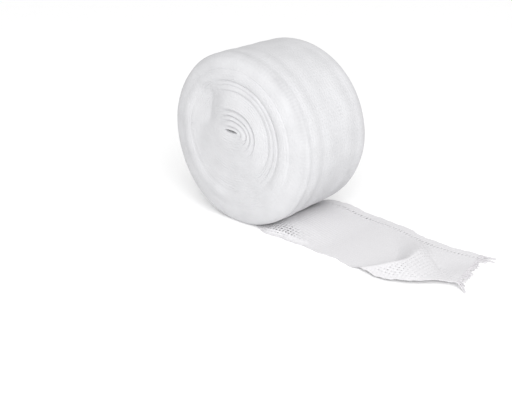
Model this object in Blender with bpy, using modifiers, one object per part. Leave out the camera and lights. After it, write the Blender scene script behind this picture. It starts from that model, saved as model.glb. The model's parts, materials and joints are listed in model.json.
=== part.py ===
"""A gauze bandage roll that lies on its side, its free end run out along the table.

Frame: metres, +Z up. The origin is the middle of the flat spot that the roll rests on.
+X is the way the free end runs out, and +Y is the roll's axis, away from the end that shows
its turns.
"""

import math
import random
from collections import namedtuple

import bmesh
import bpy
from mathutils import Matrix, Vector

MM = 0.001

# Driving dimensions, in millimetres.
TAPE_WIDTH = 50.0
ROLL_RADIUS = 41.5
FLAT_DEPTH = 0.3  # how far the roll's weight flattens it where it rests
EYE_RADIUS = 2.3  # the hole in the middle of the winding
EYE_DEPTH = 8.0
SHEET = 1.0  # thickness of the free end and of its frayed strip
GAP = 0.3  # between pieces that touch

AXIS_HEIGHT = ROLL_RADIUS - FLAT_DEPTH
HALF_WIDTH = TAPE_WIDTH / 2

# Each end swells past the strip's own edge. It stands out by crest at crest_radius, and
# rounds over from there to the side, which starts reach below the edge. Its middle sinks by
# dimple, or stands out further where that is less than nothing.
End = namedtuple("End", "crest crest_radius reach dimple")
NEAR_END = End(1.2, 26.0, 4.8, -2.8)
FAR_END = End(2.3, 32.0, 8.6, 0.8)
RIM_STEPS = 8

# The turns of an end show as bundles: each one's inner and outer radius, how far its middle
# swells, and how much its inner turns stand out past its outer ones.
Bundle = namedtuple("Bundle", "inner outer crown lean")
NEAR_BUNDLES = (
    Bundle(EYE_RADIUS, 7.8, 1.0, 1.1),
    Bundle(7.8, 12.6, 0.8, 1.0),
    Bundle(12.6, 22.0, 0.3, 1.3),
    Bundle(22.0, 27.0, 0.4, 0.5),
    Bundle(27.0, 33.4, 0.5, 0.6),
)
FAR_BUNDLES = (
    Bundle(EYE_RADIUS, 12.0, 0.4, 0.4),
    Bundle(12.0, 23.0, 0.3, 0.4),
    Bundle(23.0, 32.0, 0.3, 0.3),
)
CREVICE = 0.4  # depth of the groove between two bundles
BOLD_TURN = math.radians(42)  # where on the near end the bundles stand out most
CALM = 0.45  # and how much of their relief is missing on the other side of it
SWELL_STEPS = (0.1, 0.32, 0.68, 0.9)  # where across a bundle it has points

# Soft bands round the side: distance from the near end, half width, height.
Band = namedtuple("Band", "place half_width height")
SIDE_BANDS = (
    Band(3.6, 1.9, 0.3),
    Band(10.3, 3.2, 0.5),
    Band(20.5, 3.4, 0.2),
    Band(34.2, 3.8, 0.35),
    Band(44.5, 2.4, 0.2),
    Band(5.9, 1.3, -0.15),
    Band(15.0, 2.4, -0.2),
    Band(28.0, 3.2, -0.1),
    Band(39.4, 2.0, -0.1),
)
SIDE_STEPS = 22
TURN_STEPS = 72

# How a soft winding departs from a true cylinder.
EYE_SHIFT = (3.0, 7.6)  # the near end's eye sits off the axis, along X and Z
SLIT = 2.0  # its innermost turns were pressed flat, so much wider and so much lower
SLIT_FROM, SLIT_TO = 6.0, 24.0  # and the ones out here were not
Wave = namedtuple("Wave", "cycles size phase")
ROUND_WAVES = (Wave(1, 0.5, 0.0), Wave(2, 0.15, 2.6), Wave(3, 0.1, 0.8))
EDGE_WAVES = (Wave(1, 0.45, 0.8), Wave(2, 0.30, -0.5), Wave(5, 0.12, 1.7))
RESTING_ARC = (math.radians(22), math.radians(50))  # bands press flat below, stand above

# An upright crease in the near end, beside and above the axis: an easy slope down to it from
# the far side, a steep one up again.
CREASE_X = -12.0
CREASE_FROM, CREASE_TO = 9.0, 25.0
CREASE_DEPTH = 2.6
CREASE_EASY, CREASE_STEEP = 13.0, 11.0

# The free end, seen from above: stations along X.
TAIL_START = 9.5
TAIL_END_FAR = 107.0
TAIL_END_NEAR = 114.5
TAIL_STATIONS = ((0.0, 9.5), (0.4, 64.0), (0.82, 93.0), (1.0, 114.5))  # closer at the fold
TAIL_SPANS = 68
TAIL_RIBS = 22
SWAY = ((12.0, 32.0, 2.1), (56.0, 84.0, -4.1), (96.0, 112.0, 1.0))  # from X, to X, shift
PINCH_X, PINCH_SPREAD, PINCH = 88.0, 14.0, 1.0  # drawn in where the cloth crumples
EDGE_SLACK = 0.4  # the edges draw in this much all along
TUCK_NEAR, TUCK_FAR, TUCK_TO = 4.0, 5.0, 22.0  # and this much where the cloth leaves the roll
NECK, NECK_FROM, NECK_TO = 15.0, 86.0, 116.0  # the near edge draws in beside the fold
EDGE_WOBBLE = (Wave(1 / 17, 0.35, 0.4), Wave(1 / 6.5, 0.15, 2.0))  # cycles per mm

# Where the free end leaves the roll it keeps some curl and stands off the table.
ROOT_CREST = 24.0
ROOT_RISE = 2.5
ROOT_FOOT = 52.0
ROOT_LOW, ROOT_LOW_TO = 0.5, -8.0  # share of the rise at the near edge, and where it is full

# Near its end the cloth was pushed together into one fold. Its crest is an arc, seen from
# above. The side towards the roll is steep, the other runs down to a slanting foot line.
FOLD_X, FOLD_Y = 88.6, -8.0
FOLD_BOW_NEAR, FOLD_BOW_FAR = 0.045, 0.017
FOLD_HEIGHT = 5.0
FOLD_NEAR = (-29.0, -12.0)  # the fold rises from the near side,
FOLD_FAR = (-3.0, 19.5)  # and dies out towards the far one
FOLD_BACK = 4.0
FOOT_X, FOOT_LEAN = 98.5, 1.12
CORNER_LIFT, CORNER_FROM, CORNER_TO = 1.5, 102.0, 114.0

# The frayed cut: a narrow strip of the cloth with the ends of its threads.
STRIP_WIDTH = 1.6
THREAD_SLOTS = 34
THREAD_STEPS = 3
THREAD_TAPER = 0.75
THREAD_LENGTHS = (1.2, 3.2)  # shortest and longest of the short ends
FAR_STRANDS = {33: 7.8, 31: 7.0, 29: 4.6}  # slot from the near edge, length
NEAR_TUFT = {0: 3.0, 2: 3.0}
TUFT_DROOP = 0.75
SEED = 7


def clear_scene():
    for obj in list(bpy.data.objects):
        bpy.data.objects.remove(obj, do_unlink=True)


def collection_named(name):
    found = bpy.data.collections.new(name)
    bpy.context.scene.collection.children.link(found)
    return found


def cotton(name, colour, roughness):
    material = bpy.data.materials.new(name)
    material.use_nodes = True
    shader = material.node_tree.nodes["Principled BSDF"]
    shader.inputs["Base Color"].default_value = (*colour, 1.0)
    shader.inputs["Roughness"].default_value = roughness
    shader.inputs["Metallic"].default_value = 0.0
    return material


def add_object(name, mesh, collection, material):
    obj = bpy.data.objects.new(name, mesh)
    collection.objects.link(obj)
    if material:
        mesh.materials.clear()
        mesh.materials.append(material)
    return obj


def evaluated_mesh(obj):
    """The object's mesh with its modifiers applied, in world space."""
    bpy.context.view_layer.update()
    graph = bpy.context.evaluated_depsgraph_get()
    mesh = bpy.data.meshes.new_from_object(obj.evaluated_get(graph))
    mesh.transform(obj.matrix_world)
    return mesh


def smooth(low, high, value):
    """0 below low, 1 above high, and an easy curve between."""
    share = min(1.0, max(0.0, (value - low) / (high - low)))
    return share * share * (3 - 2 * share)


def waves(table, turn):
    return sum(wave.size * math.cos(wave.cycles * turn + wave.phase) for wave in table)


# The roll.


def end_level(end, radius):
    """How far an end stands out past the strip's edge at this radius, without any relief."""
    if radius < end.crest_radius:
        return end.crest - end.dimple * (1 - smooth(0, end.crest_radius, radius))
    share = (radius - end.crest_radius) / (ROLL_RADIUS - end.crest_radius)
    return end.crest - (end.crest + end.reach) * (1 - math.sqrt(max(0.0, 1 - share * share)))


def end_profile(end, bundles):
    """(radius, level past the strip's edge) from the eye outwards to the side."""
    radii = []
    for bundle in bundles:
        radii += [bundle.inner + share * (bundle.outer - bundle.inner) for share in SWELL_STEPS]
        radii.append(bundle.outer)
    last = radii.pop()
    start = math.asin(max(0.0, (last - end.crest_radius) / (ROLL_RADIUS - end.crest_radius)))
    for step in range(RIM_STEPS + 1):
        turn = start + (math.pi / 2 - start) * step / RIM_STEPS
        radii.append(end.crest_radius + (ROLL_RADIUS - end.crest_radius) * math.sin(turn))
    return [(radius, end_level(end, radius)) for radius in radii]


def relief(bundles, radius):
    """How far an end's surface stands out at this radius: crowned bundles, grooves between."""
    for bundle in bundles:
        share = (radius - bundle.inner) / (bundle.outer - bundle.inner)
        if 0.02 < share < 0.98:
            return bundle.crown * math.sin(math.pi * share) + bundle.lean * (0.5 - share)
    return -CREVICE if EYE_RADIUS + 1 < radius < bundles[-1].outer - 1 else 0.0


def crease(across, up):
    """How far the near end sinks towards its crease, at a place beside and above the axis."""
    window = smooth(CREASE_FROM - 4, CREASE_FROM + 3, up)
    window *= 1 - smooth(CREASE_TO - 5, CREASE_TO + 3, up)
    reach = CREASE_STEEP if across > CREASE_X else CREASE_EASY
    near = max(0.0, 1 - abs(across - CREASE_X) / reach)
    return CREASE_DEPTH * window * near * near


def band_height(place):
    """How far the side stands out at this distance from the near end."""
    return sum(
        band.height * math.exp(-(((place - band.place) / band.half_width) ** 2))
        for band in SIDE_BANDS
    )


def roll_profile():
    """(radius, height along the axis) from the near eye, down the side, to the far middle."""
    near = end_profile(NEAR_END, NEAR_BUNDLES)
    far = end_profile(FAR_END, FAR_BUNDLES)
    points = [(0.0, HALF_WIDTH - EYE_DEPTH), (EYE_RADIUS * 0.5, HALF_WIDTH - EYE_DEPTH + 1)]
    points += [(radius, HALF_WIDTH + level) for radius, level in near]
    first, last = NEAR_END.reach, TAPE_WIDTH - FAR_END.reach
    for step in range(1, SIDE_STEPS):
        place = first + (last - first) * step / SIDE_STEPS
        points.append((ROLL_RADIUS, HALF_WIDTH - place))
    points += [(radius, -HALF_WIDTH - level) for radius, level in reversed(far)]
    points.append((0.0, -HALF_WIDTH - far[0][1] + 1.0))
    return points


def settle(point):
    """Moves a point of the turned form to where the soft, unevenly wound roll has it."""
    x, y, z = point / MM
    radius, turn = math.hypot(x, z - AXIS_HEIGHT), math.atan2(z - AXIS_HEIGHT, x)
    share = radius / ROLL_RADIUS
    flatter = 0.0
    drift = (1 - share) * smooth(0, 12, -y)
    if y < 0:
        boldness = 1 - CALM + CALM * math.cos(turn - BOLD_TURN)
        y -= relief(NEAR_BUNDLES, radius) * boldness
        if radius > EYE_RADIUS * 0.9:
            y += crease(x + drift * EYE_SHIFT[0], z - AXIS_HEIGHT + drift * EYE_SHIFT[1])
        flatter = min(0.65 * radius, SLIT * (1 - smooth(SLIT_FROM, SLIT_TO, radius)))
    else:
        y += relief(FAR_BUNDLES, radius)
    edge = smooth(HALF_WIDTH - 12, HALF_WIDTH, abs(y)) * smooth(0.1, 0.6, share)
    y += edge * waves(EDGE_WAVES, turn)
    from_bottom = abs(math.remainder(turn + math.pi / 2, 2 * math.pi))
    stands = smooth(*RESTING_ARC, from_bottom)
    radius += stands * share * waves(ROUND_WAVES, turn)
    radius += stands * smooth(0.93, 1.0, share) * band_height(y + HALF_WIDTH)
    return (
        Vector(
            (
                (radius + flatter) * math.cos(turn) + drift * drift * EYE_SHIFT[0],
                y,
                AXIS_HEIGHT + (radius - flatter) * math.sin(turn) + drift * EYE_SHIFT[1],
            )
        )
        * MM
    )


def make_roll(collection, material):
    """The wound body: a turned profile, settled, and cut flat where it rests."""
    outline = bmesh.new()
    corners = [outline.verts.new((r * MM, 0, h * MM)) for r, h in roll_profile()]
    for first, second in zip(corners, corners[1:]):
        outline.edges.new((first, second))
    profile = bpy.data.meshes.new("roll_profile")
    outline.to_mesh(profile)
    outline.free()
    turned = add_object("roll_profile", profile, collection, None)
    # The profile's own +Z is the near end, so it points along -Y once the roll lies down.
    turned.location = (0, 0, AXIS_HEIGHT * MM)
    turned.rotation_euler = (math.pi / 2, 0, 0)
    screw = turned.modifiers.new("wind", "SCREW")
    screw.axis = "Z"
    screw.steps = screw.render_steps = TURN_STEPS
    screw.use_merge_vertices = True
    screw.merge_threshold = 0.00001
    mesh = evaluated_mesh(turned)
    bpy.data.objects.remove(turned)

    body = bmesh.new()
    body.from_mesh(mesh)
    for vert in body.verts:
        vert.co = settle(vert.co)
    cut = bmesh.ops.bisect_plane(
        body,
        geom=body.verts[:] + body.edges[:] + body.faces[:],
        plane_co=(0, 0, 0),
        plane_no=(0, 0, 1),
        clear_inner=True,
    )
    rim = [item for item in cut["geom_cut"] if isinstance(item, bmesh.types.BMEdge)]
    bmesh.ops.edgeloop_fill(body, edges=rim)
    bmesh.ops.recalc_face_normals(body, faces=body.faces[:])
    body.to_mesh(mesh)
    body.free()
    mesh.name = "roll"
    mesh.shade_smooth()
    mesh.set_sharp_from_angle(angle=math.radians(40))
    return add_object("roll", mesh, collection, material)


# The free end.


def fold_crest(y):
    """The crest's station along the free end, at this distance across it."""
    bow = FOLD_BOW_NEAR if y < FOLD_Y else FOLD_BOW_FAR
    return FOLD_X - bow * (y - FOLD_Y) ** 2


def fold_height(x, y):
    crest = fold_crest(y)
    height = FOLD_HEIGHT * smooth(*FOLD_NEAR, y) * (1 - smooth(*FOLD_FAR, y))
    if x < crest:
        return height * (1 - smooth(0, FOLD_BACK, crest - x))
    foot = max(crest + FOLD_BACK, FOOT_X - FOOT_LEAN * y)
    return height * max(0.0, 1 - (x - crest) / (foot - crest))


def tail_height(x, y):
    """Height of the free end's underside above the table."""
    if x < ROOT_CREST:
        root = smooth(TAIL_START + 2, ROOT_CREST, x)
    else:
        root = 1 - smooth(ROOT_CREST, ROOT_FOOT, x)
    rise = ROOT_RISE * (ROOT_LOW + (1 - ROOT_LOW) * smooth(-HALF_WIDTH, ROOT_LOW_TO, y))
    corner = CORNER_LIFT * smooth(CORNER_FROM, CORNER_TO, x) * (1 - smooth(-9, 3, y))
    return rise * root + fold_height(x, y) + corner


def tail_middle(x):
    """How far the free end has swayed sideways at this station."""
    return sum(shift * smooth(start, end, x) for start, end, shift in SWAY)


def cut_x(across):
    """Where the slanting cut ends the cloth, from across -1 at the near edge to 1."""
    return TAIL_END_NEAR + (TAIL_END_FAR - TAIL_END_NEAR) * (across + 1) / 2


def tail_point(x, across):
    """A point of the free end's underside, in millimetres. across runs from -1 to 1."""
    wobble = waves(EDGE_WOBBLE, 2 * math.pi * x + across) * abs(across) ** 3
    pinch = PINCH * math.exp(-(((x - PINCH_X) / PINCH_SPREAD) ** 2))
    tuck = (TUCK_NEAR if across < 0 else TUCK_FAR) * (1 - smooth(TAIL_START, TUCK_TO, x))
    neck = NECK * smooth(NECK_FROM, NECK_TO, x) * smooth(0.9, -0.9, across)
    y = tail_middle(x) + across * (HALF_WIDTH - EDGE_SLACK - pinch - tuck + wobble) + neck
    return Vector((x, y, tail_height(x, y)))


def tail_station(along, end):
    """Station for a share of the free end's length, closer together at the fold."""
    for (low, low_x), (high, high_x) in zip(TAIL_STATIONS, TAIL_STATIONS[1:]):
        if along <= high:
            x = low_x + (high_x - low_x) * (along - low) / (high - low)
            break
    last = TAIL_STATIONS[-2][1]
    return x if x < last else last + (x - last) * (end - last) / (TAIL_END_NEAR - last)


def smooth_across(step, count):
    """-1 to 1, with stations closer together towards both edges."""
    even = 2 * step / count - 1
    return math.sin(even * math.pi / 2) * 0.35 + even * 0.65


def thicken(obj):
    """Gives an open surface its thickness upwards, so its underside keeps to the table."""
    solid = obj.modifiers.new("thickness", "SOLIDIFY")
    solid.thickness = SHEET * MM
    solid.offset = 1.0
    return solid


def make_tail(collection, helpers, material):
    """The loose end: one open surface, thickened, and hollowed to fit under the roll."""
    grid = bmesh.new()
    bmesh.ops.create_grid(grid, x_segments=TAIL_SPANS, y_segments=TAIL_RIBS, size=1.0)
    for vert in grid.verts:
        across = smooth_across(round((vert.co.y + 1) / 2 * TAIL_RIBS), TAIL_RIBS)
        along = (vert.co.x + 1) / 2
        end = cut_x(across) - STRIP_WIDTH - GAP
        vert.co = tail_point(tail_station(along, end), across) * MM
    mesh = bpy.data.meshes.new("tail")
    grid.to_mesh(mesh)
    grid.free()
    tail = add_object("tail", mesh, collection, material)
    thicken(tail)

    bpy.ops.mesh.primitive_cylinder_add(
        vertices=192,
        radius=(ROLL_RADIUS + GAP) * MM,
        depth=2 * TAPE_WIDTH * MM,
        location=(0, 0, AXIS_HEIGHT * MM),
        rotation=(math.pi / 2, 0, 0),
    )
    room = bpy.context.active_object
    room.name = "room_under_roll"
    room.hide_render = True
    room.display_type = "WIRE"
    for owner in list(room.users_collection):
        owner.objects.unlink(room)
    helpers.objects.link(room)
    fit = tail.modifiers.new("fit under roll", "BOOLEAN")
    fit.operation = "DIFFERENCE"
    fit.object = room
    mesh.shade_smooth()
    return tail


# The frayed cut.


def thread_lengths():
    """{slot: how far that thread end stands out of the cut}."""
    draw = random.Random(SEED)
    lengths = {slot: draw.uniform(*THREAD_LENGTHS) for slot in range(1, THREAD_SLOTS, 2)}
    lengths = {slot: size for slot, size in lengths.items() if slot not in (1, 3)}
    return {**lengths, **FAR_STRANDS, **NEAR_TUFT}


def extrude_thread(strip, face, length, droops, draw):
    """Draws one end face of the strip out into a thread that thins towards its tip."""
    lean = draw.uniform(-0.25, 0.25)
    for _ in range(THREAD_STEPS):
        out = bmesh.ops.extrude_discrete_faces(strip, faces=[face])
        face = out["faces"][0]
        step = length / THREAD_STEPS
        low = min(vert.co.z for vert in face.verts) / MM
        fall = -min(step * TUFT_DROOP, low) if droops else -min(step * 0.2, low)
        bmesh.ops.translate(strip, verts=face.verts, vec=Vector((step, lean * step, fall)) * MM)
        middle = face.calc_center_median()
        floor = Vector((middle.x, middle.y, min(vert.co.z for vert in face.verts)))
        bmesh.ops.scale(
            strip,
            verts=face.verts,
            vec=(1, THREAD_TAPER, THREAD_TAPER),
            space=Matrix.Translation(-floor),
        )


def make_frayed_end(collection, material):
    """A narrow strip parted from the cut, the ends of its threads standing out of it."""
    strip = bmesh.new()
    bmesh.ops.create_grid(strip, x_segments=1, y_segments=THREAD_SLOTS, size=1.0)
    for vert in strip.verts:
        across = vert.co.y
        x = cut_x(across) - STRIP_WIDTH * (1 - vert.co.x) / 2
        vert.co = tail_point(x, across) * MM
    mesh = bpy.data.meshes.new("frayed_end")
    strip.to_mesh(mesh)
    strip.free()
    obj = add_object("frayed_end", mesh, collection, material)
    thicken(obj)
    solid = evaluated_mesh(obj)
    obj.modifiers.clear()

    strip = bmesh.new()
    strip.from_mesh(solid)
    bmesh.ops.recalc_face_normals(strip, faces=strip.faces[:])
    outer = [face for face in strip.faces if face.normal.x > 0.8]
    outer.sort(key=lambda face: face.calc_center_median().y)
    draw = random.Random(SEED + 1)
    for slot, length in sorted(thread_lengths().items()):
        extrude_thread(strip, outer[slot], length, slot in NEAR_TUFT, draw)
    strip.to_mesh(solid)
    strip.free()
    solid.materials.clear()
    solid.materials.append(material)
    obj.data = solid
    return obj


def main():
    clear_scene()
    parts = collection_named("gauze_bandage_roll")
    helpers = collection_named("cutters")
    helpers.hide_render = True
    wound = cotton("wound_gauze", (0.90, 0.90, 0.91), 0.95)
    single = cotton("single_gauze", (0.86, 0.86, 0.87), 0.95)
    make_roll(parts, wound)
    make_tail(parts, helpers, single)
    make_frayed_end(parts, single)


main()
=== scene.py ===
# %% [markdown]
# # A gauze bandage roll
# A bandage roll is one long strip of open cotton cloth, 50 mm wide, wound up on itself. Its free
# end runs out on the table and its cut end frays. This lesson dresses the plain solids of the
# part with three things: a finely shaped wound body, a free end that is really woven out of
# threads, and the loose thread ends of the cut. We start by loading the solids as a fixed frame.

# %% Load the frame
import json
import math
import random
from collections import namedtuple

import bmesh
import bpy
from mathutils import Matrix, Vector, noise

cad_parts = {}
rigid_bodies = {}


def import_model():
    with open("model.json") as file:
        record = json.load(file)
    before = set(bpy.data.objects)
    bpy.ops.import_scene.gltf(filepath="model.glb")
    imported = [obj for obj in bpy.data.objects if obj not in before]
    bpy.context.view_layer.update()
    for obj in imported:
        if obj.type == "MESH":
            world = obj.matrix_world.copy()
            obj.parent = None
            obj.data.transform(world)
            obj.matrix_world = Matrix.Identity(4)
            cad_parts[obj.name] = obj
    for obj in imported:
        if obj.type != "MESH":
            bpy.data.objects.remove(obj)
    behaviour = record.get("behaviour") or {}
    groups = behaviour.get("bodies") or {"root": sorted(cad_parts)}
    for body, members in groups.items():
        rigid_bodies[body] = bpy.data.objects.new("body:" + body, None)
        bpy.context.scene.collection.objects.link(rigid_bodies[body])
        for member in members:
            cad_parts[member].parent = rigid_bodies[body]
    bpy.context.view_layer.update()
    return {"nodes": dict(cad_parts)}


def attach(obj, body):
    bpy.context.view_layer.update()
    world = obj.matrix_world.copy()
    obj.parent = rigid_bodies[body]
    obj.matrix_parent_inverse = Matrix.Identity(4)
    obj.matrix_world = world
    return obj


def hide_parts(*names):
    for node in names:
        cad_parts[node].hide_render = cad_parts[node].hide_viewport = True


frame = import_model()
print("nodes:", sorted(frame["nodes"]))

# %% [markdown]
# ## Real sizes
# Blender works in metres, while a maker of bandages thinks in millimetres. All sizes below are
# millimetres, and one factor turns them to metres at the very end. The roll lies along Y. Its
# free end runs out along X, and the near end of the roll, the one that shows its turns, looks
# along minus Y.

# %% Sizes of the strip and the roll
MM = 0.001
TAPE_WIDTH = 50.0
HALF_WIDTH = TAPE_WIDTH / 2
ROLL_RADIUS = 41.5
AXIS_HEIGHT = 41.2  # a little less than the radius: the soft roll flattens where it rests
EYE_RADIUS = 2.3
EYE_DEPTH = 8.0
THREAD_PITCH = 1.7  # from one thread of the open cloth to the next
print(f"roll {2 * ROLL_RADIUS} mm across, {TAPE_WIDTH} mm wide")

# %% [markdown]
# ## Two small curves that everything uses
# `smooth` is the easy step that turns one shape into another without an edge. `waves` adds a few
# cosines together. A handful of waves keeps a wound thing from looking as if it was turned.


# %% Easy steps and waves
def smooth(low, high, value):
    share = min(1.0, max(0.0, (value - low) / (high - low)))
    return share * share * (3 - 2 * share)


Wave = namedtuple("Wave", "cycles size phase")


def waves(table, turn):
    return sum(wave.size * math.cos(wave.cycles * turn + wave.phase) for wave in table)


# %% [markdown]
# ## The form of the roll
# A winding is a turned form, so we could turn a simple outline and stop there. What makes it
# cloth is how it departs from that: the ends swell past the strip's own edge and roll over into
# the side, some turns stand out in bundles with dark crevices between them, and soft bands run
# round the side where the turns below are thick. The solid has the same forms in plainer steps.
# Several sizes were set anew here to get the look, so the two skins lie up to 0.9 mm apart, and
# the solid's eye goes 4.4 mm deeper.

# %% The ends, the bundles of turns and the side bands
End = namedtuple("End", "crest crest_radius reach dimple")
NEAR_END = End(1.2, 26.0, 4.8, -3.3)
FAR_END = End(2.3, 32.0, 8.6, 0.8)

# A bundle's inner and outer radius, how far its middle swells, how much its inner turns stand
# out past its outer ones, the depth of the crevice that closes it on the outside, and the share
# of all that which is left where the end is calmest.
Bundle = namedtuple("Bundle", "inner outer crown lean crevice least")
NEAR_BUNDLES = (
    Bundle(EYE_RADIUS, 4.8, 0.3, 0.5, 0.1, 0.1),
    Bundle(4.8, 7.8, 0.6, 0.9, 0.2, 0.1),
    Bundle(7.8, 10.2, 0.4, 0.7, 0.15, 0.1),
    Bundle(10.2, 12.6, 0.5, 0.8, 0.2, 0.1),
    Bundle(12.6, 22.0, 0.3, 1.3, 0.1, 0.15),
    Bundle(22.0, 24.7, 0.1, 0.3, 0.05, 0.3),
    Bundle(24.7, 27.0, 0.2, 0.4, 0.2, 0.5),
    Bundle(27.0, 33.4, 0.5, 0.0, 0.1, 0.9),
)
FAR_BUNDLES = (
    Bundle(EYE_RADIUS, 12.0, 0.4, 0.4, 0.35, 1.0),
    Bundle(12.0, 23.0, 0.3, 0.4, 0.35, 1.0),
    Bundle(23.0, 32.0, 0.3, 0.3, 0.25, 1.0),
)
SHARP_CREVICE, SOFT_CREVICE = 0.5, 2.2  # half widths, where the turns show most and least
BOLD_TURN = math.radians(42)
FAR_BOLDNESS, FAR_TURNS = 0.35, 1.6  # the far end has softer crevices and clearer single turns

Band = namedtuple("Band", "place half_width height")
SIDE_BANDS = (
    Band(3.8, 2.2, 0.2),
    Band(10.3, 3.4, 0.4),
    Band(20.5, 3.4, 0.15),
    Band(34.2, 3.8, 0.28),
    Band(44.5, 2.4, 0.15),
    Band(6.4, 1.8, -0.1),
    Band(15.2, 2.6, -0.15),
    Band(28.0, 3.2, -0.08),
    Band(39.4, 2.2, -0.08),
)
EYE_SHIFT = (3.0, 7.6)  # the turns of the near end lie off the axis, most so at the eye
SLIT, SLIT_FROM, SLIT_TO = 2.0, 6.0, 24.0  # and the inner ones were pressed flat round a slit
ROUND_WAVES = (Wave(1, 0.5, 0.0), Wave(2, 0.15, 2.6), Wave(3, 0.1, 0.8))
EDGE_WAVES = (Wave(1, 0.45, 0.8), Wave(2, 0.30, -0.5), Wave(5, 0.12, 1.7))
RESTING_ARC = (math.radians(22), math.radians(50))
BAND_CALM_FROM, BAND_CALM_TO = math.radians(45), math.radians(90)  # bands fade over the top
print(len(NEAR_BUNDLES), "bundles at the near end,", len(SIDE_BANDS), "bands round the side")

# %% [markdown]
# ## Single turns
# Between the crevices the edges of single turns show as fine lines. They form a spiral, not
# circles: one step outwards for each time round. So the height of a point depends on its radius
# less its share of a turn. The lines come and go, which a soft noise sees to. A layer of gauze is
# only some tenths of a millimetre thick, too fine to show, so one line stands for several.

# %% Fine turns
TURN_PITCH = 1.05  # from line to line
TURN_RELIEF = 0.09
TURN_STRENGTH, TURN_UNEVEN = 0.55, 0.9  # how strong the lines are, and how much that changes
TURN_DRIFT = 0.35  # share of a pitch by which they stray
RIM_FROM, RIM_TO = 35, 40  # where they fade into the rim


def fine_turns(radius, turn, seed):
    phase = radius / TURN_PITCH - turn / (2 * math.pi)
    where = Vector((math.cos(turn) * radius / 9, math.sin(turn) * radius / 9, radius / 3 + seed))
    strength = TURN_STRENGTH + TURN_UNEVEN * noise.noise(where)
    round_axis = Vector((math.cos(turn), math.sin(turn), radius / 2.5 + seed))
    drift = TURN_DRIFT * noise.noise(round_axis)
    edges = smooth(EYE_RADIUS, EYE_RADIUS + 2, radius) * (1 - smooth(RIM_FROM, RIM_TO, radius))
    return TURN_RELIEF * max(0.0, strength) * math.cos(2 * math.pi * (phase + drift)) * edges


# %% The relief of an end
def boldness(turn):
    """1 where the turns of the near end stand out most, 0 on the other side."""
    return smooth(0.35, 0.8, 0.5 + 0.5 * math.cos(turn - BOLD_TURN))


def relief(bundles, radius, boldest):
    height = 0.0
    width = SOFT_CREVICE + (SHARP_CREVICE - SOFT_CREVICE) * boldest
    ease = 0.5 - 0.38 * boldest  # share of a bundle over which its lean comes in
    fade = 0.55 - 0.5 * boldest  # and over which it goes again
    for bundle in bundles:
        bold = bundle.least + (1 - bundle.least) * boldest
        share = (radius - bundle.inner) / (bundle.outer - bundle.inner)
        if 0 < share < 1:
            height += bundle.crown * math.sin(math.pi * share) * bold
            lean = bundle.lean * (0.5 - share) * bold * smooth(0, ease, share)
            height += lean * (1 - smooth(1 - fade, 1, share))
        height -= bundle.crevice * bold * math.exp(-(((radius - bundle.outer) / width) ** 2))
    return height


# %% [markdown]
# At the upper left of the eye the turns stop at a short upright crease, as if the middle had once
# been pushed and the inner turns had folded up against the outer ones. It is small, but one looks
# there first, so it gets a dip of its own: a long easy slope down to the crease from the left,
# and a shorter, steeper one up again.

# %% The crease
CREASE_X = -12.0  # beside the axis
CREASE_COMES, CREASE_GOES = (5.0, 12.0), (20.0, 28.0)  # above the axis
CREASE_DEPTH = 2.6
CREASE_EASY, CREASE_STEEP = 21.0, 13.0  # how far each slope reaches
CREASE_ROUND = 1.0  # its bottom is not quite sharp


def crease(across, up):
    window = smooth(*CREASE_COMES, up) * (1 - smooth(*CREASE_GOES, up))
    reach = CREASE_STEEP if across > CREASE_X else CREASE_EASY
    near = max(0.0, 1 - math.hypot(across - CREASE_X, CREASE_ROUND) / reach)
    return -CREASE_DEPTH * window * near * near


# %% [markdown]
# ## The outline to turn
# The outline is a row of points from the eye of the near end, down over the rim, along the side
# and round to the middle of the far end. Points are close together where the crevices are and
# further apart on the plain side, so that the triangles go where the shape is.


# %% Outline of the roll
LAST_TURN = 34.5  # outside this radius the end rolls over into the side
NEAR_RIM_STEPS, FAR_RIM_STEPS = 26, 20
EYE_STEP = 1.4  # between the points down the wall of the eye


def end_level(end, radius):
    if radius < end.crest_radius:
        return end.crest - end.dimple * (1 - smooth(0, end.crest_radius, radius))
    share = (radius - end.crest_radius) / (ROLL_RADIUS - end.crest_radius)
    return end.crest - (end.crest + end.reach) * (1 - math.sqrt(max(0.0, 1 - share * share)))


def end_radii(end, bundles, step, rim_steps):
    """Radii from the eye to the side, with extra ones in the crevices."""
    steps = int((LAST_TURN - EYE_RADIUS) / step)
    radii = [EYE_RADIUS + step * count for count in range(steps + 1)]
    for bundle in bundles:
        radii += [bundle.outer + side * step * 0.5 for side in (-1, 0, 1)]
    radii = [radius for radius in radii if radius <= LAST_TURN]
    start = math.asin((LAST_TURN - end.crest_radius) / (ROLL_RADIUS - end.crest_radius))
    for count in range(1, rim_steps + 1):
        angle = start + (math.pi / 2 - start) * count / rim_steps
        radii.append(end.crest_radius + (ROLL_RADIUS - end.crest_radius) * math.sin(angle))
    return sorted(set(round(radius, 3) for radius in radii))


def roll_outline(fine, side_steps):
    near = [
        (radius, -HALF_WIDTH - end_level(NEAR_END, radius))
        for radius in end_radii(NEAR_END, NEAR_BUNDLES, fine, NEAR_RIM_STEPS)
    ]
    far = [
        (radius, HALF_WIDTH + end_level(FAR_END, radius))
        for radius in end_radii(FAR_END, FAR_BUNDLES, 2 * fine, FAR_RIM_STEPS)
    ]
    floor = near[0][1] + EYE_DEPTH
    points = [(0.0, floor), (EYE_RADIUS * 0.55, floor - 0.5)]
    points += [(EYE_RADIUS - 0.25, floor - EYE_STEP - EYE_STEP * count) for count in range(4)]
    points += near
    first, last = near[-1][1], far[-1][1]
    points += [
        (ROLL_RADIUS, first + (last - first) * count / side_steps) for count in range(1, side_steps)
    ]
    return points + far[::-1] + [(EYE_RADIUS * 0.5, far[0][1] - 1.0), (0.0, far[0][1] - 1.4)]


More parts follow.
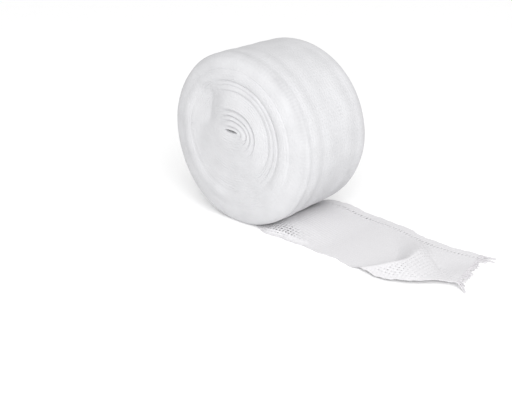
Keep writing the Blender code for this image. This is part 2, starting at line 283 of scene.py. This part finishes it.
# %% Turn it
FINE = 0.22
TURN_STEPS = 236
outline = roll_outline(FINE, 112)
body = bmesh.new()
corners = [body.verts.new((radius, y, 0)) for radius, y in outline]
edges = [body.edges.new(pair) for pair in zip(corners, corners[1:])]
bmesh.ops.spin(
    body, geom=corners + edges, cent=(0, 0, 0), axis=(0, 1, 0), angle=2 * math.pi,
    steps=TURN_STEPS, use_merge=True,
)
bmesh.ops.remove_doubles(body, verts=body.verts[:], dist=0.0005)
print(len(outline), "points in the outline,", len(body.faces), "faces turned")

# %% [markdown]
# ## Let it settle
# Every point of the turned form now moves to where the soft roll has it. Turning first and
# moving afterwards keeps one clean skin with no seams. The side also gets a slow unevenness. The
# part near the table gets none of it, and what would lie below the table is pressed flat.


# %% Move each point
SOFT_PATCH = 13  # how far the soft unevenness reaches
SOFT_ON_END, SOFT_ON_SIDE = 0.5, 0.25
EDGE_REACH = 12  # the wavy edge fades out this far along the side
SIDE_FROM = 0.93  # share of the radius from which the bands show
BAND_CALM = 0.6  # share that they lose over the top
DRIFT_DEPTH = 12  # the eye's shift grows over this depth


def settle(point):
    x, y, z = point
    radius, turn = math.hypot(x, z), math.atan2(z, x)
    share = radius / ROLL_RADIUS
    flatter = min(0.65 * radius, SLIT * (1 - smooth(SLIT_FROM, SLIT_TO, radius))) * (y < 0)
    eye_wall = smooth(EYE_RADIUS - 0.1, EYE_RADIUS + 0.1, radius)
    soft = noise.noise(Vector((x, y * 1.4, z)) / SOFT_PATCH) * eye_wall
    if y < 0:
        bold = boldness(turn)
        y -= relief(NEAR_BUNDLES, radius, bold) * eye_wall
        y -= crease(x + (1 - share) * EYE_SHIFT[0], z + (1 - share) * EYE_SHIFT[1]) * eye_wall
        hollow = SOFT_ON_END * soft * smooth(0.1, 0.5, share) * (1 - share)
        y -= fine_turns(radius, turn, 0.0) + hollow
    else:
        y += relief(FAR_BUNDLES, radius, FAR_BOLDNESS) * eye_wall
        y += FAR_TURNS * fine_turns(radius, turn, 7.0)
    edge = smooth(HALF_WIDTH - EDGE_REACH, HALF_WIDTH, abs(y)) * smooth(0.1, 0.6, share)
    y += edge * waves(EDGE_WAVES, turn)
    from_bottom = abs(math.remainder(turn + math.pi / 2, 2 * math.pi))
    stands = smooth(*RESTING_ARC, from_bottom)
    radius += stands * share * (waves(ROUND_WAVES, turn) + SOFT_ON_SIDE * soft)
    bands = sum(
        band.height * math.exp(-(((y + HALF_WIDTH - band.place) / band.half_width) ** 2))
        for band in SIDE_BANDS
    )
    calm = 1 - BAND_CALM * smooth(BAND_CALM_FROM, BAND_CALM_TO, turn)
    radius += stands * smooth(SIDE_FROM, 1.0, share) * bands * calm
    drift = (1 - share) * smooth(0, DRIFT_DEPTH, -y)
    x = (radius + flatter) * math.cos(turn) + drift * drift * EYE_SHIFT[0]
    z = AXIS_HEIGHT + (radius - flatter) * math.sin(turn) + drift * EYE_SHIFT[1]
    return Vector((x, y, max(z, 0.0)))


for vert in body.verts:
    vert.co = settle(vert.co) * MM
bmesh.ops.recalc_face_normals(body, faces=body.faces[:])
print("lowest point, mm:", round(min(vert.co.z for vert in body.verts) / MM, 3))


# %% Make it an object
def finish_mesh(mesh, name):
    """Turns a bmesh into a smooth-shaded object at the origin."""
    data = bpy.data.meshes.new(name)
    mesh.to_mesh(data)
    mesh.free()
    data.shade_smooth()
    obj = bpy.data.objects.new(name, data)
    bpy.context.scene.collection.objects.link(obj)
    return obj


wound_body = finish_mesh(body, "wound_body")
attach(wound_body, "root")
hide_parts("roll")
print("wound body:", len(wound_body.data.polygons), "faces")

# %% [markdown]
# ## The way the free end lies
# The free end leaves the roll at the bottom, keeps a little of its curl and lies flat. Then it
# was pushed together into one fold, which narrows the strip on its near side. Seen from above
# the fold's crest is an arc. Its back is steep, and its front runs down to a slanting line. We
# describe all this as a height for every place on the table, and a sideways sway. The solid has
# the same forms, but the fold's back, the rise at the roll and the corner were set anew here. So
# the cloth's top lies up to 2.5 mm above the solid's at the fold, and up to 1.7 mm below it where
# the cloth leaves the roll.

# %% How the free end lies
TAIL_START, TAIL_END_FAR, TAIL_END_NEAR = 9.5, 107.0, 114.5
TUCK_NEAR, TUCK_FAR, TUCK_TO = 4.0, 5.0, 22.0  # edges drawn in where the cloth leaves the roll
SWAY = ((12.0, 32.0, 2.1), (56.0, 84.0, -4.1), (96.0, 112.0, 1.0))
PINCH_X, PINCH_SPREAD, PINCH = 88.0, 14.0, 1.0
EDGE_SLACK = 0.4
EDGE_WOBBLE = (Wave(1 / 17, 0.35, 0.4), Wave(1 / 6.5, 0.15, 2.0))
ROOT_CREST, ROOT_RISE, ROOT_FOOT = 22.5, 4.2, 52.0
ROOT_LOW, ROOT_LOW_TO = 0.35, -8.0  # share of that rise at the near edge, and where it is full
ROOT_FAR, ROOT_FAR_FROM = 0.55, -2.0  # its share at the far edge, and where it starts to fall
EDGE_FALL = 3.5  # over this width the near edge comes down to the table
NECK, NECK_FROM, NECK_TO = 15.0, 86.0, 116.0  # the near edge draws in beside the fold
FOLD_X, FOLD_Y, FOLD_HEIGHT, FOLD_BACK = 88.6, -8.0, 4.7, 8.0
FOLD_BACK_SPREAD = 0.45  # its back gets longer towards the far side, where it dies out
FOLD_BOW_NEAR, FOLD_BOW_FAR = 0.045, 0.017
FOLD_NEAR, FOLD_FAR = (-32.0, -14.0), (-3.0, 19.5)  # it rises from the near side, dies out far
FOOT_X, FOOT_LEAN = 98.5, 1.12
CORNER_LIFT, CORNER_FROM, CORNER_TO = 2.2, 98.0, 114.0


def fold_crest(y):
    """The crest's station along the free end, at this distance across it."""
    bow = FOLD_BOW_NEAR if y < FOLD_Y else FOLD_BOW_FAR
    return FOLD_X - bow * (y - FOLD_Y) ** 2


def fold_foot(y):
    return max(fold_crest(y) + FOLD_BACK, FOOT_X - FOOT_LEAN * y)


def fold_height(x, y):
    crest = fold_crest(y)
    height = FOLD_HEIGHT * smooth(*FOLD_NEAR, y) * (1 - smooth(*FOLD_FAR, y))
    if x < crest:
        back = FOLD_BACK + FOLD_BACK_SPREAD * max(0.0, y - FOLD_Y)
        return height * (1 - smooth(0, back, crest - x))
    left = max(0.0, 1 - (x - crest) / (fold_foot(y) - crest))
    return height * left * smooth(-0.25, 0.35, left)  # it runs out gently at the foot


def root_height(x, y):
    if x < ROOT_CREST:
        root = smooth(TAIL_START, ROOT_CREST, x)
    else:
        root = 1 - smooth(ROOT_CREST, ROOT_FOOT, x)
    near_share = ROOT_LOW + (1 - ROOT_LOW) * smooth(-HALF_WIDTH, ROOT_LOW_TO, y)
    far_share = 1 - (1 - ROOT_FAR) * smooth(ROOT_FAR_FROM, HALF_WIDTH, y)
    return root * ROOT_RISE * near_share * far_share


def corner_height(x, y):
    return CORNER_LIFT * smooth(CORNER_FROM, CORNER_TO, x) * (1 - smooth(-6, 18, y))


# %% A place on the cloth
CLOTH_MIDDLE = 0.28  # the middle of the cloth above its underside
UNDER_ROLL_TO = 24  # up to this station the roll's side hangs over the cloth
LEAST_UNDER_ROLL, LEAST_HEIGHT = 0.3, 0.12


def cut_x(across):
    return TAIL_END_NEAR + (TAIL_END_FAR - TAIL_END_NEAR) * (across + 1) / 2


def cloth_point(x, across, lift):
    """The cloth at station x, across from -1 at the near edge to 1, lifted off its middle."""
    tuck = (TUCK_NEAR if across < 0 else TUCK_FAR) * (1 - smooth(TAIL_START, TUCK_TO, x))
    wobble = waves(EDGE_WOBBLE, 2 * math.pi * x + across) * abs(across) ** 3
    pinch = PINCH * math.exp(-(((x - PINCH_X) / PINCH_SPREAD) ** 2))
    sway = sum(shift * smooth(start, end, x) for start, end, shift in SWAY)
    neck = NECK * smooth(NECK_FROM, NECK_TO, x) * (1 - across) / 2
    y = sway + across * (HALF_WIDTH - EDGE_SLACK - pinch - tuck + wobble) + neck
    fall = smooth(0, EDGE_FALL, HALF_WIDTH * (1 + across))
    height = root_height(x, y) * fall + fold_height(x, y) + corner_height(x, y) + CLOTH_MIDDLE
    under_roll = AXIS_HEIGHT - math.sqrt(ROLL_RADIUS**2 - min(x, 40) ** 2) - CLOTH_MIDDLE
    if x < UNDER_ROLL_TO:
        height = min(height, max(under_roll, LEAST_UNDER_ROLL))
    return Vector((x, y, max(height + lift, LEAST_HEIGHT)))


print("the fold stands", round(fold_height(FOLD_X, FOLD_Y), 1), "mm above the table")

# %% [markdown]
# ## Weaving
# The free end is a single layer, so one can see how it is made: threads along the strip, the
# warp, and threads across, the weft, which pass over and under each other. A picture of a weave
# on a flat sheet would look solid from the side and close up. Real threads don't, and there are
# only about a hundred of them. Each one is a narrow grid, three points wide with the middle
# raised, which Solidify later closes into a flat, soft thread. Smooth shading would round its
# edges to the eye and make a cord of it, so the woven threads are shaded flat. The waves are
# lower than a thread is thick, and the threads are as wide as their pitch. So threads cut into
# one another where they cross and lie side by side. It doesn't show here, but a model that must
# be free of overlaps needs higher waves and narrower threads.

# %% Where the warp threads run
SELVEDGE = (0.6, 1.55, 2.5)  # the edge threads lie side by side, in from each edge
WARP_FIRST, WARP_STEP, WARP_COUNT = 4.1, 1.63, 25
FAR_HEM = (46.8, 47.7, 48.6, 49.4)  # inside them an open row, where a thread was left out
WARP_PLACES = (
    SELVEDGE + tuple(WARP_FIRST + WARP_STEP * count for count in range(WARP_COUNT)) + FAR_HEM
)
WARP_WIDTH, WEFT_WIDTH = 1.66, 1.74  # as wide as their pitch, so that the cloth looks closed
OPENED = 0.25  # share of the width that is missing where the weave is pulled open
THREAD_CROWN = 0.04
THREAD_THICKNESS = 0.2
WEAVE_LIFT, CALM_LIFT = 0.09, 0.04  # where the weave is open, and where it is pressed flat
OPEN_ROW = 45.1  # the middle of the open row beside the far hem
print(len(WARP_PLACES), "warp threads, the last at", WARP_PLACES[-1], "mm")


def across_of(place):
    """From millimetres off the near edge to -1 .. 1."""
    return place / HALF_WIDTH - 1


def openness(x, place):
    """How far the weave is pulled open: the front of the fold, the near root, the open row."""
    y = place - HALF_WIDTH
    flank = smooth(-1.0, 1.0, x - fold_crest(y)) * smooth(-4.0, 2.0, fold_foot(y) - x)
    near_root = 2.0 * (1 - smooth(5, 14, place)) * (1 - smooth(26, 46, x))
    open_row = 1.5 * math.exp(-(((place - OPEN_ROW) / 0.9) ** 2)) * smooth(14, 34, x)
    return max(flank, near_root, open_row)


def weave_lift(opened):
    return CALM_LIFT + (WEAVE_LIFT - CALM_LIFT) * min(1.0, opened)


# %% Lay one thread
def lay_thread(cloth, spans, place):
    """Adds a narrow grid to the cloth; place(along, side) puts each of its points."""
    made = bmesh.ops.create_grid(cloth, x_segments=spans, y_segments=2, size=1.0)
    for vert in made["verts"]:
        vert.co = place((vert.co.x + 1) / 2, round(vert.co.y)) * MM


def thread_section(side, width):
    """Sideways place and height of the three points across a thread."""
    return side * width / 2, 0.0 if side else THREAD_CROWN


# %% The warp
STEPS_PER_CROSSING = 4
draw = random.Random(11)
warp = bmesh.new()
for count, place in enumerate(WARP_PLACES):
    end = cut_x(across_of(place)) - 1.0
    width = WARP_WIDTH * draw.uniform(0.96, 1.04)
    stray = draw.uniform(0, 100)

    def warp_point(along, side):
        x = TAIL_START - 1.0 + along * (end - TAIL_START + 1.0)
        opened = openness(x, place)
        aside, crown = thread_section(side, width * (1 - OPENED * opened))
        wander = 0.15 * noise.noise(Vector((x / 11, stray, 0)))
        wave = weave_lift(opened) * math.cos(math.pi * (x / THREAD_PITCH + count))
        return cloth_point(x, across_of(place + aside + wander), crown + wave)

    spans = round((end - TAIL_START + 1.0) / THREAD_PITCH * STEPS_PER_CROSSING)
    lay_thread(warp, spans, warp_point)
print("warp:", len(warp.faces), "faces")

# %% [markdown]
# A weft thread goes over the warp threads that its neighbour goes under. To keep that right
# where the warp threads are uneven, we walk along the weft by counting warp threads, and look
# up where each one is.


# %% The weft
def place_at(count):
    """The place of warp thread number count, fractions between two threads allowed."""
    low = min(len(WARP_PLACES) - 2, max(0, math.floor(count)))
    share = count - low
    return WARP_PLACES[low] + share * (WARP_PLACES[low + 1] - WARP_PLACES[low])


weft = bmesh.new()
number = math.ceil(TAIL_START / THREAD_PITCH)
while number * THREAD_PITCH < TAIL_END_NEAR - 2:
    station = number * THREAD_PITCH
    reach = len(WARP_PLACES) - 0.6
    while cut_x(across_of(place_at(reach))) - 1.0 < station:
        reach -= 0.5
    width = WEFT_WIDTH * draw.uniform(0.96, 1.04)
    stray = draw.uniform(0, 100)
    lag = draw.uniform(-0.1, 0.1)

    def weft_point(along, side):
        count = -0.4 + along * (reach + 0.4)
        place = place_at(count)
        opened = openness(station, place)
        aside, crown = thread_section(side, width * (1 - OPENED * opened))
        wander = lag + 0.2 * noise.noise(Vector((place / 12, stray, 4)))
        wave = -weave_lift(opened) * math.cos(math.pi * (count + number))
        return cloth_point(station + aside + wander, across_of(place), crown + wave)

    lay_thread(weft, max(4, round((reach + 0.4) * STEPS_PER_CROSSING)), weft_point)
    number += 1
print("weft:", len(weft.faces), "faces")


# %% Close the threads
def close_threads(obj, thickness=THREAD_THICKNESS):
    bpy.context.view_layer.update()
    solid = obj.modifiers.new("thread thickness", "SOLIDIFY")
    solid.thickness = thickness * MM
    solid.offset = 0.0
    return obj


warp_threads = close_threads(finish_mesh(warp, "warp_threads"))
weft_threads = close_threads(finish_mesh(weft, "weft_threads"))
for piece in (warp_threads, weft_threads):
    piece.data.shade_flat()

# %% [markdown]
# ## The frayed cut
# Scissors cut the strip a little askew. The last cross threads have dropped out, so the warp
# ends stand free: most are short and lean this way or that, two at the far corner were pulled
# out long, and at the near corner a few hang down together as a tuft. Out of the cloth the threads
# spring back from flat to round, so these are narrower and thicker.

# %% Free thread ends
FRAY_START = 1.3  # in from the cut
SHORT_ENDS = (-0.8, 2.4)
LONG_ENDS = ((48.8, 6.2), (46.2, 6.6), (44.0, 3.6), (41.5, 3.4))  # place, length
TUFT_ENDS = ((0.5, 3.6), (1.2, 4.2), (1.9, 3.9), (2.8, 3.0), (4.2, 2.5))
TUFT_DROOP, TUFT_LEAN = 0.6, -0.7
END_WIDTH, TIP_WIDTH = 0.65, 0.6
END_THICKNESS = 0.5
END_CURL, END_RISE = (-0.5, 0.5), (-0.06, 0.10)  # drawn anew for each end
LONG_WIDER, TUFT_WIDER = 2.2, 1.3  # times the width of a short end
SHORT_DROOP, SHORT_LEAN, SHORT_STRAY = 0.1, 0.3, 0.4
LONG_LEAN = 0.04
frayed = bmesh.new()


def lay_end(place, length, droop, width, lean):
    """One thread end, from inside the cloth to its free tip."""
    start = cut_x(across_of(place)) - FRAY_START
    curl = draw.uniform(*END_CURL)
    rise = draw.uniform(*END_RISE)

    def end_point(along, side):
        free = max(0.0, along * (FRAY_START + length) - FRAY_START)
        thin = 1 - (1 - TIP_WIDTH) * smooth(0.3, 1.0, along)
        aside, crown = thread_section(side, width * thin)
        base = cloth_point(start + along * FRAY_START, across_of(place + aside), crown)
        base.x += free
        base.y += lean * free + curl * (free / 3) ** 2 * 0.4
        base.z = max(END_THICKNESS / 2 + 0.02 + crown, base.z + rise * free - droop * free)
        return base

    lay_thread(frayed, 12, end_point)


for place in WARP_PLACES:
    length, lean = draw.uniform(*SHORT_ENDS), draw.uniform(-SHORT_LEAN, SHORT_LEAN)
    stray = draw.uniform(-SHORT_STRAY, SHORT_STRAY)
    lay_end(place + stray, length, SHORT_DROOP, END_WIDTH, lean)
for place, length in LONG_ENDS:
    lay_end(place, length, 0.0, END_WIDTH * LONG_WIDER, LONG_LEAN)
for place, length in TUFT_ENDS:
    lean = TUFT_LEAN * draw.uniform(0.7, 1.2)
    lay_end(place, length, TUFT_DROOP, END_WIDTH * TUFT_WIDER, lean)
frayed_threads = close_threads(finish_mesh(frayed, "frayed_threads"), END_THICKNESS)
print("frayed cut:", len(frayed_threads.data.polygons), "faces before thickness")

# %% What the threads stand for
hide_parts("tail")
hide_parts("frayed_end")
for piece in (warp_threads, weft_threads, frayed_threads):
    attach(piece, "root")

# %% [markdown]
# ## Materials
# Everything here is bleached cotton. Bleaching takes the wax and colour out of the fibre, which
# leaves a soft white with no gloss, and loose fibres that catch light at grazing angles, a fine
# sheen. Colours are given as the hex values one reads off a screen, and one function turns them
# into the linear values that a renderer works with.


# %% Colour and node helpers
def linear(hex_colour):
    def channel(value):
        value /= 255
        return value / 12.92 if value <= 0.04045 else ((value + 0.055) / 1.055) ** 2.4

    return tuple(channel(int(hex_colour[at : at + 2], 16)) for at in (0, 2, 4)) + (1.0,)


def add(tree, kind, inputs=(), **settings):
    """Adds a node with its settings; an input is a value or another node's socket."""
    made = tree.nodes.new(kind)
    for name, value in settings.items():
        setattr(made, name, value)
    for socket, source in dict(inputs).items():
        if isinstance(source, bpy.types.NodeSocket):
            tree.links.new(source, made.inputs[socket])
        else:
            made.inputs[socket].default_value = source
    return made


def new_material(name):
    material = bpy.data.materials.new(name)
    material.use_nodes = True
    return material, material.node_tree, material.node_tree.nodes["Principled BSDF"]


# %% [markdown]
# ### Bleached cotton thread
# A cotton thread is carded and spun: short fibres twisted together. At this size the twist shows
# as a fine mottling, with a few thicker and thinner places. The frayed ends get the same finish
# in a slightly deeper tone, chosen against the white table: painted shade, for thin ends that
# stand off the cloth and show their shaded side.


# %% Cotton thread
def cotton_yarn(name, darkest, lightest):
    material, tree, shader = new_material(name)
    coords = add(tree, "ShaderNodeTexCoord")
    mottle = add(
        tree, "ShaderNodeTexNoise",
        {"Vector": coords.outputs["Object"], "Scale": 1 / (0.5 * MM), "Detail": 3.0},
    )
    tone = add(tree, "ShaderNodeValToRGB", {"Fac": mottle.outputs["Fac"]})
    tone.color_ramp.elements[0].position = 0.30
    tone.color_ramp.elements[0].color = linear(darkest)
    tone.color_ramp.elements[1].position = 0.70
    tone.color_ramp.elements[1].color = linear(lightest)
    tree.links.new(tone.outputs["Color"], shader.inputs["Base Color"])
    fibres = add(
        tree, "ShaderNodeBump",
        {"Strength": 0.4, "Distance": 0.1 * MM, "Height": mottle.outputs["Fac"]},
    )
    tree.links.new(fibres.outputs["Normal"], shader.inputs["Normal"])
    shader.inputs["Roughness"].default_value = 0.92
    shader.inputs["Sheen Weight"].default_value = 0.03
    shader.inputs["Sheen Roughness"].default_value = 0.6
    return material


woven_cotton = cotton_yarn("bleached_cotton_thread", "CFCED0", "D7D6D8")
# The loose ends use the same cotton in a deeper tone: painted shade for thin ends standing off the
# cloth.
shaded_loose_cotton = cotton_yarn("loose_cotton_painted_shade", "C8C6C9", "D2D0D3")
for piece in (warp_threads, weft_threads):
    piece.data.materials.append(woven_cotton)
frayed_threads.data.materials.append(shaded_loose_cotton)

# %% [markdown]
# ### Wound gauze
# On the roll the same cloth lies many layers deep, so there are no holes, only the relief of the
# weave. The pattern has to run round the side, so we work out how far round and how far along
# every point lies. The angle comes from Arctan2, times the radius it gives millimetres of cloth.
# The weave is the product of two rows of humps, with over and under swapping from cell to cell.
# Two open rows run round part of the side, as where a thread is missing. The shade where one looks
# between the cross threads into the layer below is painted into the tone, as a row of darker
# spots. Painted shade also darkens the row by the near rim as a whole, and a band round the rim.

# %% Places on the winding
gauze, tree, shader = new_material("bleached_cotton_gauze")


def calc(operation, first, second=0.0, third=0.0):
    made = add(tree, "ShaderNodeMath", {0: first, 1: second, 2: third}, operation=operation)
    return made.outputs["Value"]


coords = add(tree, "ShaderNodeTexCoord")
centred = add(
    tree, "ShaderNodeMapping",
    {"Vector": coords.outputs["Object"], "Location": (0, 0, -AXIS_HEIGHT), "Scale": (1000,) * 3},
)
parts = add(tree, "ShaderNodeSeparateXYZ", {"Vector": centred.outputs["Vector"]})
angle = calc("ARCTAN2", parts.outputs["Z"], parts.outputs["X"])
flat_x = calc("MULTIPLY", parts.outputs["X"], parts.outputs["X"])
flat_z = calc("MULTIPLY", parts.outputs["Z"], parts.outputs["Z"])
radius = calc("SQRT", calc("ADD", flat_x, flat_z))
on_side = add(
    tree, "ShaderNodeMapRange", {"Value": radius, "From Min": 38.0, "From Max": 40.5},
    interpolation_type="SMOOTHSTEP",
).outputs["Result"]

# %% The weave of the side
THREADS_ROUND = 154  # a whole number, so that the pattern closes: 1.69 mm from thread to thread
round_count = calc("MULTIPLY", angle, THREADS_ROUND / (2 * math.pi))
soft_bend = add(
    tree, "ShaderNodeTexNoise", {"Vector": centred.outputs["Vector"], "Scale": 0.09, "Detail": 2.0}
)
bend = calc("MULTIPLY", calc("SUBTRACT", soft_bend.outputs["Fac"], 0.5), 1.6)
along_count = calc("DIVIDE", calc("ADD", parts.outputs["Y"], bend), THREAD_PITCH)
round_sine = calc("SINE", calc("MULTIPLY", round_count, math.pi))
along_sine = calc("SINE", calc("MULTIPLY", along_count, math.pi))
swap = calc("MULTIPLY", round_sine, along_sine)
warp_hump = calc("ABSOLUTE", along_sine)
weft_hump = calc("ABSOLUTE", round_sine)
warp_share = calc("MULTIPLY", warp_hump, calc("MULTIPLY_ADD", swap, 0.5, 0.5))
weft_share = calc("MULTIPLY", weft_hump, calc("MULTIPLY_ADD", swap, -0.5, 0.5))
weave = calc("MULTIPLY", calc("ADD", warp_share, weft_share), on_side)


# %% Open rows
def near(value, middle, half_width):
    """1 where the value is near the middle, 0 where it is further off than the half width."""
    off = calc("ABSOLUTE", calc("SUBTRACT", value, middle))
    window = add(
        tree, "ShaderNodeMapRange",
        {
            "Value": off, "From Min": 0.2 * half_width, "From Max": half_width,
            "To Min": 1.0, "To Max": 0.0,
        },
        interpolation_type="SMOOTHSTEP",
    )
    return window.outputs["Result"]


def row(place, half_width, turn, turn_half):
    """A stretch of a row round the side, where it lies and over which angles it shows."""
    stretch = near(angle, math.radians(turn), math.radians(turn_half))
    return calc("MULTIPLY", near(parts.outputs["Y"], place, half_width), stretch)


between = calc("SUBTRACT", 1.0, weft_hump)
broken = add(
    tree, "ShaderNodeTexNoise",
    {"Vector": centred.outputs["Vector"], "Scale": 1 / 6.0, "Detail": 3.0, "Roughness": 0.7},
)
shown = calc("MAXIMUM", calc("MULTIPLY_ADD", broken.outputs["Fac"], 3.0, -1.1), 0.0)
# painted shade: darker spots between the cross threads, shown in broken stretches
hole_shade_dots = calc("MULTIPLY", between, shown)
# painted shade of a shallow trough next to the near rim: a darker line with darker spots in it
edge_trough_shade = calc("MULTIPLY", row(-21.8, 1.7, 50, 45), calc("MULTIPLY_ADD", hole_shade_dots, 0.15, 0.15))
# painted shade: the open row across the middle of the side, as darker spots
middle_row_shade = calc("MULTIPLY", row(5.0, 1.7, 32, 30), calc("MULTIPLY", hole_shade_dots, 0.35))
rim_band_shade = calc("MULTIPLY", row(-24.0, 6.0, 40, 180), 0.25)  # painted shade: a darker band round the side next to the near rim
# all the painted shade of the rows together, taken off the tone below
painted_row_shade = calc("MULTIPLY", calc("ADD", calc("ADD", edge_trough_shade, middle_row_shade), rim_band_shade), on_side)

# %% Fuzz, tone and finish
fuzz = add(
    tree, "ShaderNodeTexNoise",
    {"Vector": centred.outputs["Vector"], "Scale": 1 / 0.9, "Detail": 3.0, "Roughness": 0.65},
)
patch = add(
    tree, "ShaderNodeTexNoise",
    {"Vector": centred.outputs["Vector"], "Scale": 1 / 9.0, "Detail": 2.0},
)
clear = calc("MULTIPLY_ADD", patch.outputs["Fac"], 1.6, -0.5)
shown_weave = calc("MULTIPLY", weave, calc("MAXIMUM", clear, 0.05))
height = calc("ADD", calc("MULTIPLY", shown_weave, 0.2), fuzz.outputs["Fac"])
surface = add(
    tree, "ShaderNodeBump", {"Strength": 0.75, "Distance": 0.45 * MM, "Height": height}
)
# painted shade: the weave term lightens the threads and darkens the gaps between them
tone_value = calc("ADD", calc("MULTIPLY", patch.outputs["Fac"], 0.5), calc("MULTIPLY", weave, 0.12))
tone_value = calc("SUBTRACT", calc("ADD", tone_value, 0.25), painted_row_shade)
tone = add(tree, "ShaderNodeValToRGB", {"Fac": tone_value})
tone.color_ramp.elements[0].position = 0.0
tone.color_ramp.elements[0].color = linear("B2B2B4")
tone.color_ramp.elements[1].position = 0.65
tone.color_ramp.elements[1].color = linear("C8C8CA")
tree.links.new(tone.outputs["Color"], shader.inputs["Base Color"])
tree.links.new(surface.outputs["Normal"], shader.inputs["Normal"])
shader.inputs["Roughness"].default_value = 0.95
shader.inputs["Sheen Weight"].default_value = 0.03
shader.inputs["Sheen Roughness"].default_value = 0.6
wound_body.data.materials.append(gauze)
print("materials:", [material.name for material in bpy.data.materials])

# %% [markdown]
# ## Table, light and camera
# White cloth on a white table is all about soft light. A bright surrounding lights everything
# evenly. A far lamp beside the camera gives the front of the roll its brighter side, and a large
# near one in the same direction fades over the roll, so that its left and its far end are a little
# darker. The table is whiter than the cloth.

# %% The table
table = bmesh.new()
bmesh.ops.create_grid(table, x_segments=1, y_segments=1, size=4.0)
floor = finish_mesh(table, "table_top")
# High-pressure laminate: printed paper and resin pressed hot, even and white with a soft gloss.
laminate, tree, shader = new_material("white_laminate")
shader.inputs["Base Color"].default_value = linear("FFFFFF")
shader.inputs["Roughness"].default_value = 0.8
floor.data.materials.append(laminate)

# %% Light
world = bpy.data.worlds.new("white_surround")
bpy.context.scene.world = world
world.use_nodes = True
world.node_tree.nodes["Background"].inputs["Color"].default_value = (1, 1, 1, 1)
world.node_tree.nodes["Background"].inputs["Strength"].default_value = 0.78

LAMP_FROM = Vector((0.60, -0.56, 0.54))  # close to where we look from
LAMP_DISTANCE = 0.46  # metres
turned = (-LAMP_FROM).to_track_quat("-Z", "Y").to_euler()
far_lamp = bpy.data.lights.new("window_light", "SUN")
far_lamp.energy = 1.2
far_lamp.angle = math.radians(55)
near_lamp = bpy.data.lights.new("soft_box", "AREA")
near_lamp.energy = 0.85
near_lamp.size = 0.35
for lamp in (far_lamp, near_lamp):
    holder = bpy.data.objects.new(lamp.name, lamp)
    holder.location = LAMP_FROM.normalized() * LAMP_DISTANCE
    holder.rotation_euler = turned
    bpy.context.scene.collection.objects.link(holder)

# %% Camera
CAMERA_PLACE = (0.2682, -0.3094, 0.1772)
CAMERA_PITCH = math.radians(23.51)
look = Vector(
    (-0.6659 * math.cos(CAMERA_PITCH), 0.7459 * math.cos(CAMERA_PITCH), -math.sin(CAMERA_PITCH))
)
camera = bpy.data.objects.new("camera", bpy.data.cameras.new("camera"))
camera.data.lens = 62.52
camera.data.sensor_width = 36.0
camera.data.clip_start = 0.01
camera.location = CAMERA_PLACE
camera.rotation_euler = look.to_track_quat("-Z", "Y").to_euler()
bpy.context.scene.collection.objects.link(camera)
bpy.context.scene.camera = camera
bpy.context.scene.view_settings.view_transform = "Standard"
